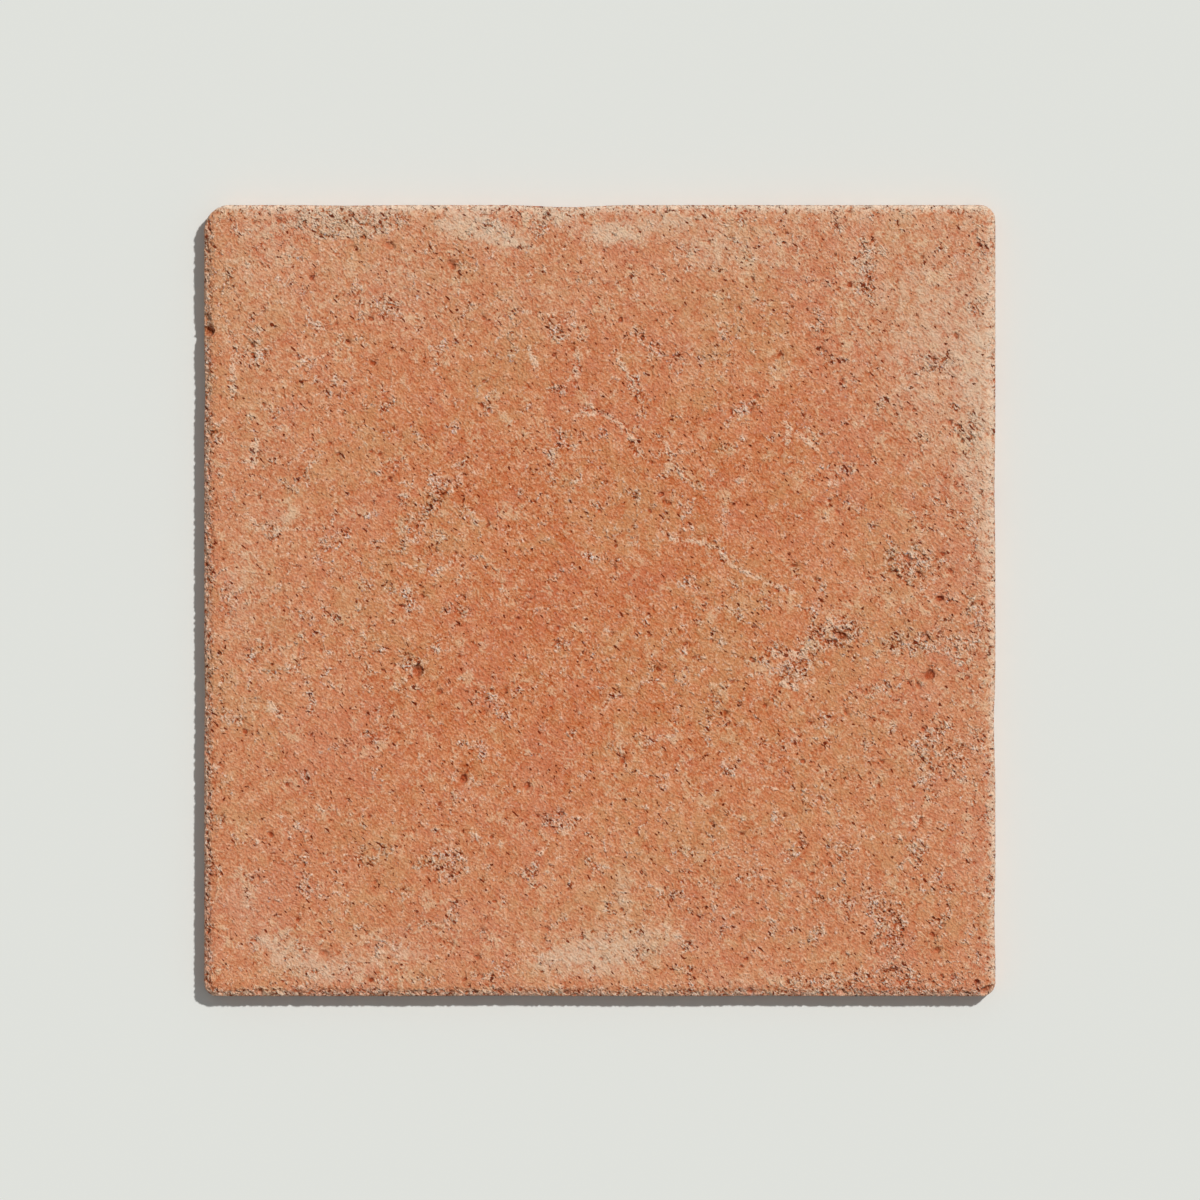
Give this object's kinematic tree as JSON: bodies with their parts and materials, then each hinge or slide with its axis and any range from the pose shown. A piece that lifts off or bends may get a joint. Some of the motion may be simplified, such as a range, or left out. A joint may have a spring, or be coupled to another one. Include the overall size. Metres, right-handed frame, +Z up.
{
  "type": "composite stone floor tile",
  "caption": "Square terracotta-coloured composite stone floor tile with tumbled edges, rounded corners and a pitted face.",
  "frame": {"origin": "middle of the flat back, at the centre of the outline", "axes": "+Z up out of the worn face, +X and +Y along two sides; +Y is the picture's upper side"},
  "size_m": [0.4, 0.4, 0.015],
  "materials": {
    "composite_stone": "matt, tumbled, sandy and pitted, terracotta orange with pale lime bloom"
  },
  "bodies": {
    "root": {"tile": "composite_stone"}
  },
  "joints": []
}
